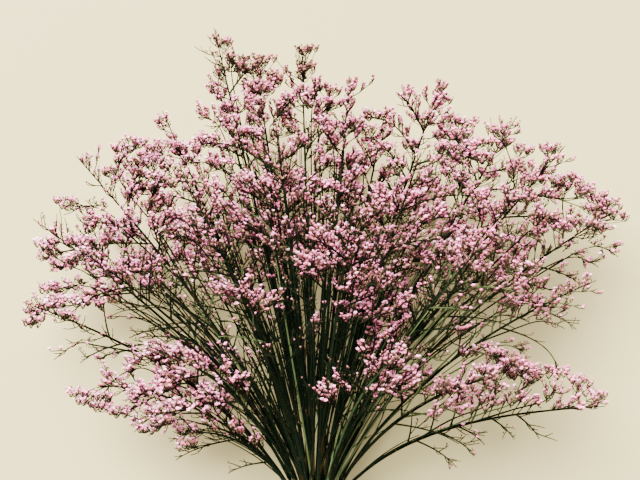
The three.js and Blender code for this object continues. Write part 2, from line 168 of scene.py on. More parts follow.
# Loose sprays that stand out from the head, as the place of each tip across and along.
LOOSE_SPRAYS = (
    (-70, 355), (-60, 338), (-34, 329), (-7, 347), (12, 318), (42, 298), (94, 310), (116, 293), (105, 273),
    (139, 277), (174, 271), (-124, 271), (-103, 276), (-130, 254), (205, 243), (188, 246), (222, 231),
    (-184, 231), (-203, 204), (-212, 150), (-196, 158), (-168, 84), (-154, 90), (-67, 306), (22, 290),
    (131, 254), (226, 223), (-30, 323), (166, 250), (110, 252), (214, 214), (192, 218), (160, 236),
    (-20, 308), (-140, 240), (-38, 336), (-49, 290), (-64, 274), (-19, 288), (-112, 260), (-94, 264),
    (-79, 277), (-68, 258), (-184, 204), (-169, 214), (-153, 216), (-36, 316), (38, 286), (72, 276),
    (60, 260), (12, 262), (10, 244), (101, 288), (120, 276), (132, 282), (158, 262), (182, 248),
    (-120, 234), (-154, 256), (-108, 248), (124, 110), (138, 116), (152, 113), (166, 109), (180, 106),
    (194, 101), (206, 92), (114, 122), (-160, 78), (-148, 74), (-174, 90), (-126, 62), (-49, 331),
    (-40, 319), (-7, 334), (-2, 307), (13, 307), (23, 289), (105, 297), (95, 273), (107, 265), (116, 274),
    (125, 264), (-139, 273), (-137, 261), (-62, 292), (-50, 284), (-200, 201), (-170, 202), (-202, 168),
    (-184, 160), (-214, 142), (82, 296), (158, 273), (142, 114), (154, 111), (131, 111), (148, 105),
    (-109, 97), (-112, 82), (-98, 62), (19, 146), (34, 158), (56, 158), (34, 262), (-139, 218), (66, 228),
    (214, 236), (-131, 276), (-122, 262), (-14, 276), (8, 290), (30, 294), (51, 273), (108, 282),
    (100, 262), (118, 268), (152, 256), (176, 256), (196, 252), (210, 228), (202, 240), (-178, 192),
    (-190, 186), (-166, 188), (-176, 150), (-168, 160), (-58, 284), (42, 280), (98, 284), (-127, 267),
    (-116, 274), (100, 255), (113, 246), (120, 238), (184, 214), (-124, 229), (-110, 214), (-168, 196),
    (-124, 172), (131, 124), (148, 105), (160, 104), (-124, 108), (-110, 74), (-100, 84), (-95, 52),
    (-132, 246), (-118, 250), (88, 250), (128, 232),
)

Y = np.array([0.0, 1.0, 0.0])
FAN_ROOT = -40  # along, where the lines of the fan would meet
HUNDREDTHS = np.linspace(0, 1, 101)
COLUMNS = 64  # strips of the colour chart: from faded to fresh florets, lowered by painted shade, and from stem to twig
STEM_COLUMNS = (0, 20)
BRANCH_COLUMNS = (20, 40)
TWIG_COLUMNS = (40, 64)
GREEN_COLUMN = 63
GREEN_SIDE = 80  # across, past which some twigs have stayed green
THICK, FINE = 6, 4  # facets round a strand

# The kinds of strand: radius at the root and at the tip, columns of the chart, and facets.
BRANCH = (0.75, 0.3, BRANCH_COLUMNS, THICK)
SIDE_STEM = (0.65, 0.3, BRANCH_COLUMNS, THICK)
BARE_TWIG = (0.5, 0.25, BRANCH_COLUMNS, FINE)
SPRIG = (0.45, 0.25, TWIG_COLUMNS, FINE)
TWIG = (0.4, 0.25, TWIG_COLUMNS, FINE)
FORK = (0.35, 0.22, TWIG_COLUMNS, FINE)
TUFT_TWIG = (0.3, 0.22, TWIG_COLUMNS, FINE)

# The radius of a main stem at some of the points along it, from its cut end.
STEM_POINTS = (0, 7, 12, 25, 30)
STEM_RADII = (1.7, 1.5, 1.1, 0.8, 0.3)

# The two forms of floret, in millimetres: the facets of the rim, two to a lobe, the reach of a lobe,
# the notches' reach as a share of it, the depth, and how far the mouth is sunk.
OPEN_FLORET = (10, 1.75, 0.7, 3.0, 0.9)
CLOSED_FLORET = (6, 0.85, 0.8, 2.8, 0.3)
MOUTH_WIDTH = 0.0035  # of an open floret, in metres
FLORET_ROOM = 0.0002  # between the lowest florets and the floor, in metres

# The camera: the place that it looks at, the width of its view there and that of its sensor.
AIM = np.array([3.75, 206, 0])
VIEW_WIDTH = 0.48
SENSOR_WIDTH = 36

# The stage, in metres and watts.
FLOOR_SIZE = 60
KEY_ANGLE = math.radians(55)  # wide, so that the shadows are soft
NEAR_POWER = 70
AREA_SIZE = 0.8
BACKDROP_STRENGTH = 2.8
WARM_WHITE = (1, 0.97, 0.92)
WARMER_WHITE = (1, 0.96, 0.86)


def mix(low, high, share):
    return low + (high - low) * share


def smooth(value):
    value = np.clip(value, 0, 1)
    return value * value * (3 - 2 * value)


def unit(vectors):
    return vectors / np.linalg.norm(vectors, axis=-1, keepdims=True)


def square(direction, axis):
    """The part of a direction that is square to an axis, as a unit vector."""
    return unit(direction - axis * np.sum(direction * axis, axis=-1, keepdims=True))


def turned(vector, axis, angle):
    cosine, sine = math.cos(angle), math.sin(angle)
    return vector * cosine + np.cross(axis, vector) * sine + axis * (axis @ vector) * (1 - cosine)


def chance(*keys):
    """A number from 0 to 1 that depends only on the seed and on what it is drawn for."""
    bits = SEED
    for key in keys:
        bits = ((bits ^ (key + 1)) * 0x45D9F3B) & 0xFFFFFFFF
        bits ^= bits >> 15
    bits = (bits * 0x2C1B3C6D) & 0xFFFFFFFF
    return (bits ^ (bits >> 12)) / 2**32


def lay(places):
    """Puts points of the bunch's frame where they lie. Low sprays are pressed flat."""
    x, y, z = np.moveaxis(np.asarray(places, float), -1, 0)
    height = y * math.sin(LEAN) + z * math.cos(LEAN) + TIE_HEIGHT
    firm = REST_HEIGHT + PRESS_DEPTH
    pressed = REST_HEIGHT + PRESS_DEPTH * np.exp(np.minimum(height - firm, 0) / PRESS_DEPTH)
    height = np.where((y > HEAD_START) & (height < firm), pressed, height)
    return np.stack([x, y * math.cos(LEAN) - z * math.sin(LEAN), height], -1)


def put(places):
    """Puts points of the bunch's frame in the scene, in metres."""
    return (lay(places) - ORIGIN) * MM


def above_floor(places, room):
    """Lifts points that come nearer to the floor than the room given."""
    places[..., 2] = np.maximum(places[..., 2], room)
    return places


class Arch:
    """A cubic Bezier curve."""

    def __init__(self, *corners):
        self.corners = np.array(corners)

    def point(self, share):
        t = np.asarray(share, float)[..., None]
        s = 1 - t
        a, b, c, d = self.corners
        return s**3 * a + 3 * s * s * t * b + 3 * s * t * t * c + t**3 * d

    def course(self, share):
        share = np.asarray(share, float)
        return unit(self.point(np.minimum(share + 1e-4, 1)) - self.point(np.maximum(share - 1e-4, 0)))

    def length(self):
        return np.linalg.norm(np.diff(self.point(np.linspace(0, 1, 201)), axis=0), axis=1).sum()


class Branch:
    """A stretch of an arch that is bare up to a share of its length and then in flower."""

    made = itertools.count()

    def __init__(self, arch, first, last, bare):
        self.number = next(Branch.made)
        self.arch, self.first, self.last, self.bare = arch, first, last, bare
        reach = arch.point(last) - arch.point(first)
        self.length = np.linalg.norm(reach)
        self.out = unit(reach * (1, 0, 1))
        self.branches = []

    def state(self, share):
        """The place and course at a share of the length, the way up there, and how far it is in bloom."""
        share = np.asarray(share, float)
        t = mix(self.first, self.last, share)
        course = self.arch.course(t)
        up = square(Y + 0.6 * self.out, course)
        bloom = smooth((share - self.bare) * self.length / CLUSTER_LIFT)[..., None]
        return self.arch.point(t), course, up, bloom

    def balls(self, shares):
        place, _, up, bloom = self.state(shares)
        return lay(place + up * CLUSTER_LIFT * bloom), mix(TWIG_ROOM, CLUSTER_RADIUS, bloom[..., 0])


class Room:
    """The balls round all that has grown."""

    def __init__(self):
        self.centres = np.zeros((MOST_BALLS, 3))
        self.radii = np.zeros(MOST_BALLS)
        self.owners = np.zeros(MOST_BALLS, int)
        self.count = 0

    def take(self, branch, owner):
        steps = math.ceil(branch.length / STEP)
        centres, radii = branch.balls(np.arange(steps + 1) / steps)
        end = self.count + steps + 1
        self.centres[self.count:end] = centres
        self.radii[self.count:end] = radii
        self.owners[self.count:end] = owner.number
        self.count = end

    def clear(self, centres, radii, parent, root):
        """Which balls are clear of all others, apart from the parent near the root."""
        away = np.linalg.norm(self.centres[:self.count] - root, axis=-1)
        reach = np.linalg.norm(centres - root, axis=-1).max(initial=0) + 2 * CLUSTER_RADIUS + 1
        near = np.flatnonzero(away < reach)
        apart = np.linalg.norm(centres[:, None] - self.centres[near], axis=-1)
        free = apart > self.radii[near] + radii[:, None] + GAP
        free |= (self.owners[near] == parent.number) & (away[near] < ROOT_ROOM)
        return free.all(axis=1)


def rise_of(start, given):
    """The way that a stem leaves the tie. The more it droops at its end, the steeper it starts."""
    chord = np.array(given[0], float) - start
    return unit(chord + Y * np.linalg.norm(chord) * (0.8 + given[4]))


def packed_spots():
    """Where each stem passes through the tie, pushed apart until the stems lie side by side."""
    spots = []
    for given in STEMS:
        rise = rise_of(np.zeros(3), given)
        spots.append([rise[0] * (BUNDLE_SPREAD / rise[1]), rise[2] * (BUNDLE_SPREAD / rise[1])])
    for _ in range(PACKING_ROUNDS):
        for one in range(len(spots)):
            for other in range(one):
                a, b = spots[one], spots[other]
                x, y = a[0] - b[0], a[1] - b[1]
                apart = math.sqrt(x * x + y * y)
                if apart < STEM_PITCH:
                    push = (STEM_PITCH - apart) / 2 / apart
                    spots[one] = [a[0] + x * push, a[1] + y * push]
                    spots[other] = [b[0] - x * push, b[1] - y * push]
        for spot in spots:
            reach = math.hypot(*spot)
            if reach > BUNDLE_RADIUS:
                spot[:] = spot[0] * BUNDLE_RADIUS / reach, spot[1] * BUNDLE_RADIUS / reach
    return np.array(spots) * DRAW


def stem_arch(spot, given):
    """A stem's course from the tie to its tip."""
    start = np.array([spot[0], TIE_ROOM / 2, spot[1]])
    end = np.array(given[0], float)
    length = np.linalg.norm(end - start)
    fall = unit(end - start - Y * length * 1.5 * given[4])
    return Arch(start, start + rise_of(start, given) * length * 0.36, end - fall * length * 0.33, end)


def try_branch(room, parent, share, turn, reach, bare):
    """A side branch that leaves its parent on a given side, as long as it stays clear."""
    place, course, up, _ = parent.state(share)
    side = turned(up, course, turn)

    def bend(ahead, aside, rise):
        return place + course * reach * ahead + side * reach * aside + Y * reach * rise

    arch = Arch(place, bend(0.2, 0.2, 0), bend(0.38, 0.5, RISE), bend(0.46, 0.78, RISE))
    whole = Branch(arch, 0, 1, bare)
    steps = math.ceil(whole.length / STEP)
    centres, radii = whole.balls(np.arange(2, steps + 1) / steps)
    clear = room.clear(centres, radii, parent, lay(place))
    grown = 1 + (len(clear) if clear.all() else int(np.argmin(clear)))
    return Branch(arch, 0, grown / steps, bare), side


def grow_branch(room, stem, crown, index, before):
    """The side branch that finds the most room, rather across the bunch than up or down."""
    _, _, branches, reach, _ = STEMS[stem]
    share = crown.bare * (index + 0.3 * chance(stem, index, 1)) / (branches - 0.7)
    wanted = reach * (1 - 0.5 * share) * mix(0.85, 1.15, chance(stem, index, 2))
    start = math.pi / 4 * chance(stem, index, 3)
    best, most, chosen = None, 0, None
    for eighth in range(8):
        turn = math.pi / 4 * eighth + start
        branch, side = try_branch(room, crown, share, turn, wanted, BARE_SHARE)
        apart = 1 if before is None else 1 - math.cos(turn - before)
        flat = 1 - abs(side[2]) + 0.3 * side[1]
        score = branch.length * (0.4 + 0.6 * flat) * (0.5 + 0.5 * min(1, apart))
        if score > most:
            best, most, chosen = branch, score, turn
    return (None, None) if best.length < SHORTEST_BRANCH else (best, chosen)


@functools.cache
def grown_bunch():
    """All plants of the bunch, each with its spot in the tie, its arch and its crown."""
    room = Room()
    plants = []
    for spot, given in zip(packed_spots(), STEMS):
        arch = stem_arch(spot, given)
        first = 1 - given[1] / arch.length()
        crown = Branch(arch, first, 1, 1 - CROWN_TIP / given[1])
        room.take(Branch(arch, 0.1, first, 1), crown)
        room.take(crown, crown)
        plants.append({"spot": spot, "arch": arch, "crown": crown, "turn": None})
    for index in range(max(given[2] for given in STEMS)):
        for stem, plant in enumerate(plants):
            if index < STEMS[stem][2]:
                branch, turn = grow_branch(room, stem, plant["crown"], index, plant["turn"])
                if branch:
                    room.take(branch, branch)
                    plant["crown"].branches.append(branch)
                    plant["turn"] = turn
    for stem, plant in enumerate(plants):
        for index, branch in enumerate(plant["crown"].branches):
            for number, share in enumerate(SPRIG_SHARES):
                hand = 1 if number % 2 else -1
                turn = hand * mix(0.4, 1.2, chance(stem, index, number, 5))
                reach = SPRIG_LENGTH * mix(0.8, 1.2, chance(stem, index, number, 4))
                sprig, _ = try_branch(room, branch, share, turn, reach, SPRIG_BARE_SHARE)
                if sprig.last > SHORTEST_SPRIG:
                    room.take(sprig, sprig)
                    branch.branches.append(sprig)
    return plants


def bow(start, bend, end, shares):
    """Points of a quadratic curve."""
    t = np.asarray(shares, float)[:, None]
    return (1 - t) ** 2 * start + 2 * t * (1 - t) * bend + t * t * end


def eased(points):
    """A line of points with its corners rounded."""
    for _ in range(3):
        points[1:-1] = (points[:-2] + 2 * points[1:-1] + points[2:]) / 4
    return points


def course_of(points):
    """The unit direction of a line of points at each of them."""
    return unit(np.gradient(points, axis=0))


def drift(x, y, z):
    """Smooth noise from 0 to 1 between random values at whole numbers."""
    low = [math.floor(v) for v in (x, y, z)]
    part = [smooth(v - floor) for v, floor in zip((x, y, z), low)]
    total = 0
    # The numbers are shifted by 500, because chance takes none below 0.
    for corner in range(8):
        step = [corner >> axis & 1 for axis in range(3)]
        weight = math.prod(p if one else 1 - p for p, one in zip(part, step))
        total += weight * chance(*(floor + one + 500 for floor, one in zip(low, step)))
    return total


def away_from(place, patch):
    """How far a place is from the middle of an ellipse, which ends at 1."""
    across, along, wide, tall = patch
    return math.hypot((place[0] - across) / wide, (place[1] - along) / tall)


def in_flower(place):
    """How much a place of the head is in flower, from 0 to 1. Full shelves and thin gaps take turns."""
    away = math.hypot(place[0], place[1] - FAN_ROOT)
    turn = math.atan2(place[0], place[1] - FAN_ROOT)
    # A shelf is some 17 mm thick, a seventh of a radian wide and 26 mm deep.
    shelf = smooth((drift(away / 17, turn * 7, place[2] / 26) - 0.4) / 0.2)
    full = smooth((place[1] - FULL_FLOWER + 14) / 28) * mix(0.2, 1, shelf)
    for patch in TUFTS:
        full = max(full, smooth((1.25 - away_from(place, patch)) / 0.4) * mix(0.55, 1, shelf))
    for patch in GAPS:
        full *= mix(0.25, 1, smooth((away_from(place, patch) - 0.7) / 0.5))
    return full


def is_cleared(place):
    return any(away_from(place, patch) < 1 for patch in CLEARINGS)


class Spray:
    """All that one stem carries: strands of stem and twig, and its florets."""

    def __init__(self, stem, plant):
        self.stem, self.arch, self.crown = stem, plant["arch"], plant["crown"]
        self.random = np.random.default_rng([SEED, stem])
        self.strands = []
        self.florets = []
        # The middle of the fan stands up, and its other stems lean out to a side.
        across, along, _ = STEMS[stem][0]
        self.inner = abs(across) < 0.62 * along
        self.grow_stem(plant["spot"])
        self.grow_clusters(self.crown)
        self.grow_twigs(self.crown, 0.03, 0.9, self.crown.length / 6, 22)
        self.grow_side_stems()
        self.grow_bare_twigs()
        for branch in self.crown.branches:
            self.grow_branch(branch)
            for sprig in branch.branches:
                self.add_strand(sprig.state(np.linspace(0, 1, 5))[0], SPRIG)
                self.grow_clusters(sprig)

    def between(self, low, high):
        return self.random.uniform(low, high)

    def beside(self):
        """A direction out from a stem, drawn at random."""
        return unit(self.random.normal(0, 1, 3) * (1, 0.1, 1))

    def add_strand(self, points, kind):
        thick, thin, columns, facets = kind
        radii = np.linspace(thick, thin, len(points)) * MM
        column = self.random.integers(*columns)
        if points[-1][0] > GREEN_SIDE and self.random.random() < 0.3:
            column = GREEN_COLUMN
        self.strands.append((above_floor(put(points), radii), radii, column, facets))

    def grow_stem(self, spot):
        """The main stem, from its cut end to the tip of its crown."""
        cut = CUT_LENGTH + CUT_SPREAD * chance(self.stem, 6)
        flare = 1 + BUNDLE_FLARE * cut / CUT_LENGTH
        foot = np.array([spot[0] * flare, -cut, spot[1] * flare])
        start = self.arch.point(0)
        below = [mix(foot, start, share) for share in (0, 0.02, 0.06, 0.12, 0.3, 0.5, 0.75)]
        points = np.vstack([below, self.arch.point(np.linspace(0, 1, 24))])
        radii = np.interp(np.arange(len(points)), STEM_POINTS, STEM_RADII) * MM
        column = self.random.integers(*STEM_COLUMNS)
        # The flat sides of a strand lie at 0.87 of its radius.
        self.strands.append((above_floor(put(points), radii * 0.87), radii, column, THICK))

    def grow_branch(self, branch):
        """A side branch. Many leave the stem low down and run up beside it first."""
        points = branch.state(np.linspace(0, 1, 9))[0]
        if self.random.random() < 0.42:
            points = eased(np.vstack([self.low_fork(points[3]), points[3:]]))
        self.add_strand(points, BRANCH)
        self.grow_clusters(branch)
        self.grow_twigs(branch, 0.12, 0.8, branch.length / 10, 13)

    def low_fork(self, end):
        """The way from low on the main stem to a point of a side branch."""
        last = np.argmin(np.linalg.norm(self.arch.point(HUNDREDTHS) - end, axis=1)) / 100
        first = last * (self.between(0.02, 0.45) if self.inner else self.between(0.45, 0.8))
        run = np.linspace(0, 1, 11)[:-1, None]
        bulge = self.beside() * np.sin(run * math.pi)
        away = (end - self.arch.point(last)) * smooth(run) ** 0.7
        return self.arch.point(np.linspace(first, last, 11)[:-1]) + away + bulge * self.between(3, 8)

    def grow_side_stems(self):
        """Thin stems that fork off low down and run up beside the main stem into the head."""
        for _ in range(7 if self.inner else 2):
            first, last = self.between(0.01, 0.2), mix(self.crown.first, 1, self.between(0.1, 0.6))
            run = np.linspace(0, 1, 14)
            sway = self.beside() * smooth(run)[:, None] * self.between(4, 11)
            self.add_strand(self.arch.point(mix(first, last, run)) + sway, SIDE_STEM)

    def grow_bare_twigs(self):
        """Forked twigs without florets on the lower part of the stem, 38 to 150 mm from the tie."""
        low, high = np.interp((38, 150), self.arch.point(HUNDREDTHS)[:, 1], HUNDREDTHS)
        high = min(high, self.crown.first * 0.9)
        for _ in range((4 if self.inner else 2) if high > low else 0):
            share = self.between(low, high)
            start, course = self.arch.point(share), self.arch.course(share)
            out = square(self.random.normal(0, 1, 3) * (1, 0, 0.7) + (start[0] * 0.01, 0, 0), course)
            length = self.between(22, 58)
            end = start + course * length + out * length * self.between(0.2, 0.55)
            if is_cleared(end):
                continue
            bend = start + course * length * 0.5 + out * length * 0.05
            points = bow(start, bend, end, (0, 0.3, 0.6, 0.8, 1))
            self.add_strand(points, BARE_TWIG)
            for fork in range(3):
                root = points[1 + fork]
                hand = 1 if fork % 2 else -1
                aim = unit(course + out * hand * self.between(0.3, 0.9))
                tip = root + aim * length * self.between(0.2, 0.45)
                bend = mix(root, tip, 0.5) + course * length * 0.03
                self.add_strand(bow(root, bend, tip, (0, 0.5, 1)), FORK)
                if self.random.random() < 0.3:
                    self.add_floret(tip, aim, 0.0, True)

    def grow_clusters(self, shoot):
        """Flat-topped tufts of one-sided spikelets along the part of a shoot that is in flower."""
        count = max(1, round((1 - shoot.bare) * shoot.length / CLUSTER_STEP))
        step = (1 - shoot.bare) / count
        for cluster in range(count):
            base = shoot.bare + step * cluster
            rim = base + step * CLUSTER_FLARE
            place, course, up, bloom = shoot.state(rim)
            side = np.cross(course, up)
            head = place + up * CLUSTER_LIFT * bloom
            full = in_flower(head)
            number = 6 if full > 0.5 else 1 if is_cleared(head) else 3
            phase = self.between(0, 2 * math.pi)
            for spikelet in range(number):
                angle = phase + 2 * math.pi * (spikelet + self.between(-0.3, 0.3)) / number
                out = up * math.cos(angle) + side * math.sin(angle)
                root = shoot.state(max(0, mix(base - 0.15 * step, rim, spikelet / number)))[0]
                end = head + out * CLUSTER_RADIUS * self.between(0.25, 0.9) + course * self.between(-1, 3)
                self.grow_spikelet(root, end, course, out, full, head[1] + 1.5)

    def grow_spikelet(self, root, end, course, out, full, crest):
        """A short twig that bends up, with florets side by side along its outer part. The florets are
        freshest at the crest and darker below it. This is partly their older, browner calyces and partly
        painted shade under the lit crest."""
        reach = np.linalg.norm(end - root)
        bend = mix(root, end, 0.5) + (out * 0.5 - Y * 0.4 - course * 0.2) * reach * 0.3
        self.add_strand(bow(root, bend, end, (0, 0.5, 1)), TWIG)
        number = max(3, round(reach * 0.8 / 1.2))
        shares = np.linspace(0.2, 1, number)
        places = bow(root, bend, end, shares)
        ways = course_of(places)
        across = unit(np.cross(ways, Y + 0.01))
        rise = np.cross(across, ways)
        sparse = 0.45 if root[1] > FULL_FLOWER else 0.15
        for index in range(number):
            if self.random.random() > mix(sparse, 1, full):
                continue
            tilt = (1 if index % 2 else -1) * self.between(0.2, 0.6)
            facing = rise[index] * 0.8 + Y * 0.5 + out * 0.4 + across[index] * tilt + ways[index] * 0.3
            open_chance = mix(0.25, 0.9, full) if shares[index] > 0.45 else 0.1
            withered = self.random.random() > open_chance
            # Below the crest the florets are made darker. This is painted shade under the lit tops, together
            # with their browner calyces.
            below = smooth((crest - places[index][1]) / 7) * 0.9
            self.add_floret(places[index] + rise[index] * 0.2, unit(facing), shares[index] - below, withered)

    def grow_loose_spray(self, root, course, tip):
        """A twig that reaches out of the head and ends in a flat-topped tuft."""
        bend = root + course * np.linalg.norm(tip - root) * 0.55
        self.add_strand(bow(root, bend, tip, np.linspace(0, 1, 7)), BARE_TWIG)
        for twig in range(8):
            start = bow(root, bend, tip, (mix(0.5, 0.95, twig / 7),))[0]
            angle = 2.4 * twig
            out = np.array([math.cos(angle), 0.1, 0.8 * math.sin(angle)])
            end = tip + out * self.between(2.5, 8.5) + Y * self.between(-4, 1)
            self.add_strand(bow(start, mix(start, end, 0.5) - Y, end, (0, 0.5, 1)), TUFT_TWIG)
            for hand in (-1, 1):
                top = end + (hand * 2.6, 3.8, hand * self.between(-3, 3))
                self.grow_spikelet(end, top, Y, out, 1, top[1])

    def grow_twigs(self, shoot, low, high, number, reach):
        """Fine side twigs between two shares of a shoot, each with one or three small spikelets."""
        for twig in range(round(number)):
            share = mix(low, high, (twig + self.between(0.1, 0.9)) / number)
            place, course, up, _ = shoot.state(share)
            side = np.cross(course, up)
            angle = self.between(-2.2, 2.2)
            out = up * math.cos(angle) + side * math.sin(angle)
            length = reach * self.between(0.6, 1.25)
            end = place + course * length * self.between(0.35, 0.75) + out * length * 0.75
            bend = mix(place, end, 0.5) + out * length * 0.15 - Y * length * 0.06
            points = bow(place, bend, end, (0, 0.35, 0.7, 1))
            full = in_flower(end)
            if end[1] < FULL_FLOWER and full < 0.3 and self.random.random() < 0.55 or is_cleared(end):
                continue
            self.add_strand(points, TWIG)
            for spikelet in range(3 if full > 0.5 else 1):
                root = points[1 + spikelet // 2]
                aside = side * math.cos(angle) - up * math.sin(angle)
                aim = out * 0.6 + course * 0.7 + aside * (spikelet - 1) * 0.8 + Y * 0.3
                tip = root + unit(aim) * self.between(5, 9)
                self.grow_spikelet(root, tip, course, out, full, tip[1])

    def add_floret(self, place, facing, share, withered):
        """A row of numbers: place, facing, size, turn, freshness with painted shade, and form."""
        # The outer florets of a twig are the freshest, and the share given is lowered below a cluster's
        # crest as painted shade. Those on the left of the head are brighter and those on its right darker.
        # Those in patches here and there and at its very top have aged more.
        freshness_and_painted_light = 0.49 + 0.32 * share + 0.12 * smooth((-place[0] - 10) / 140)
        freshness_and_painted_light -= 0.08 * smooth((place[0] - 90) / 90)
        freshness_and_painted_light -= 0.4 * smooth((0.3 - drift(*(place / 13))) / 0.1)
        freshness_and_painted_light -= 0.45 * smooth((place[1] - 312) / 26)
        freshness_and_painted_light = self.between(0, 0.26) if withered else freshness_and_painted_light + self.random.normal(0, 0.17)
        size = self.between(0.62, 1.06) * (0.9 if withered else 1)
        turn = self.between(0, 2 * math.pi)
        closed = withered or self.random.random() < 0.25
        self.florets.append((*place, *facing, size, turn, min(max(freshness_and_painted_light, 0), 0.999), closed))


def misfit(root, tip):
    """How badly a loose spray would start at a root. Best is 24 mm from its tip and pointing to it."""
    _, place, course = root
    reach = math.hypot(tip[0] - place[0], tip[1] - place[1])
    ahead = ((tip[0] - place[0]) * course[0] + (tip[1] - place[1]) * course[1]) / max(reach, 1)
    return abs(reach - 24) - 20 * ahead


@functools.cache
def sprays():
    """What every stem carries, with the loose sprays on the shoots that suit them best."""
    grown = [Spray(stem, plant) for stem, plant in enumerate(grown_bunch())]
    roots = []
    for stem, spray in enumerate(grown):
        for shoot in (spray.crown, *spray.crown.branches):
            places, courses, _, _ = shoot.state(np.linspace(0.2, 0.9, 6))
            roots += [(stem, place, course) for place, course in zip(places, courses)]
    for tip in LOOSE_SPRAYS:
        stem, place, course = min(roots, key=lambda root: misfit(root, tip))
        grown[stem].grow_loose_spray(place, course, np.array([*tip, place[2] + course[2] * 15]))
    return grown


class Value:
    """A shader socket. Working with it as with a number adds the Math nodes for that."""

    def __init__(self, paint, socket):
        self.paint, self.socket = paint, socket

    def worked(self, operation, first, second):
        return self.paint.node("ShaderNodeMath", {"operation": operation}, {0: first, 1: second})[0]

    def __radd__(self, other):
        return self.worked("ADD", other, self)

    def __sub__(self, other):
        return self.worked("SUBTRACT", self, other)

    def __mul__(self, other):
        return self.worked("MULTIPLY", self, other)

    def __rmul__(self, other):
        return self.worked("MULTIPLY", other, self)

    def __lt__(self, other):
        return self.worked("LESS_THAN", self, other)

    def __gt__(self, other):
        return self.worked("GREATER_THAN", self, other)


class Paint:
    """The nodes of a material or of the world in the making."""

    def __init__(self, owner):
        self.owner = owner
        self.owner.use_nodes = True
        self.tree = self.owner.node_tree
        self.tree.nodes.clear()

    def node(self, kind, settings=None, inputs=None):
        """Adds a node, sets it up and feeds its sockets. Gives its outputs."""
        node = self.tree.nodes.new(kind)
        for name, setting in (settings or {}).items():
            if name == "stops":
                self.set_stops(node.color_ramp.elements, setting)
            else:
                setattr(node, name, setting)
        for name, given in (inputs or {}).items():
            if isinstance(given, Value):
                self.tree.links.new(given.socket, node.inputs[name])
            else:
                node.inputs[name].default_value = given
        return [Value(self, socket) for socket in node.outputs]

    def set_stops(self, elements, stops):
        while len(elements) < len(stops):
            elements.new(0.5)
        for element, (position, colour) in zip(elements, stops):
            element.position = position
            element.color = shader_colour(colour)

    def chart(self):
        """The piece's colour chart, and its two directions."""
        chart = self.node("ShaderNodeUVMap", {"uv_map": "OFBake"})[0]
        across, along, _ = self.node("ShaderNodeSeparateXYZ", None, {0: chart})
        return chart, across, along

    def ramp(self, factor, *stops):
        return self.node("ShaderNodeValToRGB", {"stops": stops}, {0: factor})[0]

    def blend(self, factor, first, second, kind="MIX"):
        settings = {"data_type": "RGBA", "blend_type": kind}
        second = second if isinstance(second, Value) else shader_colour(second)
        return self.node("ShaderNodeMix", settings, {0: factor, 6: first, 7: second})[2]

    def noise(self, place, scale, detail):
        return self.node("ShaderNodeTexNoise", None, {"Vector": place, "Scale": scale, "Detail": detail})[0]

    def grain(self, chart, across, along, scale, detail):
        """Noise on the chart, so many times finer across and along it."""
        drawn = self.node("ShaderNodeMapping", None, {"Vector": chart, "Scale": (across, along, 1)})[0]
        return self.noise(drawn, scale, detail)

    def bump(self, height, strength, distance):
        settings = {"Height": height, "Strength": strength, "Distance": distance}
        return self.node("ShaderNodeBump", None, settings)[0]

    def finish(self, **inputs):
        named = {name.replace("_", " "): given for name, given in inputs.items()}
        shader = self.node("ShaderNodeBsdfPrincipled", None, named)[0]
        self.node("ShaderNodeOutputMaterial", None, {"Surface": shader})
        return self.owner


def linear(red, green, blue):
    """A screen colour of 0 to 255 as the linear numbers that shaders use, with full alpha."""
    return (*((v / 255) ** 2.2 for v in (red, green, blue)), 1)


def grey(level):
    return (level, level, level, 1)


def shader_colour(colour):
    """A colour of three screen numbers made linear. One of four is linear already."""
    return linear(*colour) if len(colour) == 3 else colour


def added(name, data):
    """A new object, linked to the scene."""
    thing = bpy.data.objects.new(name, data)
    bpy.context.scene.collection.objects.link(thing)
    return thing


def faceted_mesh(name, points, corners, sizes, chart):
    """A mesh object with flat faces from arrays, with its colour chart."""
    mesh = bpy.data.meshes.new(name)
    mesh.vertices.add(len(points))
    mesh.vertices.foreach_set("co", points.astype(np.float32).ravel())
    mesh.loops.add(len(corners))
    mesh.loops.foreach_set("vertex_index", corners.astype(np.int32))
    mesh.polygons.add(len(sizes))
    starts = np.concatenate([[0], np.cumsum(sizes)[:-1]])
    mesh.polygons.foreach_set("loop_start", starts.astype(np.int32))
    mesh.polygons.foreach_set("use_smooth", np.zeros(len(sizes), bool))
    mesh.update(calc_edges=True)
    set_chart(mesh, chart)
    return added(name, mesh)


def set_chart(mesh, chart):
    layer = mesh.uv_layers.new(name="OFBake")
    layer.data.foreach_set("uv", chart.astype(np.float32).ravel())


def select_only(piece):
    bpy.ops.object.select_all(action="DESELECT")
    piece.select_set(True)
    bpy.context.view_layer.objects.active = piece


def swept(name, strands, facets):
    """Strands swept to closed tubes, as one mesh object whose chart has a column for each strand."""
    curve = bpy.data.curves.new(name, "CURVE")
    curve.dimensions = "3D"
    curve.bevel_depth = 1
    curve.bevel_resolution = facets // 2 - 2
    curve.use_fill_caps = True
    for _ in range(COLUMNS):
        curve.materials.append(None)
    for points, radii, column, _ in strands:
        spline = curve.splines.new("POLY")
        spline.points.add(len(points) - 1)
        spline.points.foreach_set("co", np.column_stack([points, np.ones(len(points))]).ravel())
        spline.points.foreach_set("radius", radii)
        spline.material_index = int(column)
        spline.use_smooth = True
    select_only(added(name, curve))
    bpy.ops.object.convert(target="MESH")
    bpy.ops.object.mode_set(mode="EDIT")
    bpy.ops.mesh.select_all(action="SELECT")
    bpy.ops.mesh.remove_doubles(threshold=1e-6)
    bpy.ops.mesh.normals_make_consistent(inside=False)
    bpy.ops.object.mode_set(mode="OBJECT")
    piece = bpy.context.object
    chart_strands(piece.data, facets)
    piece.data.materials.clear()
    return piece


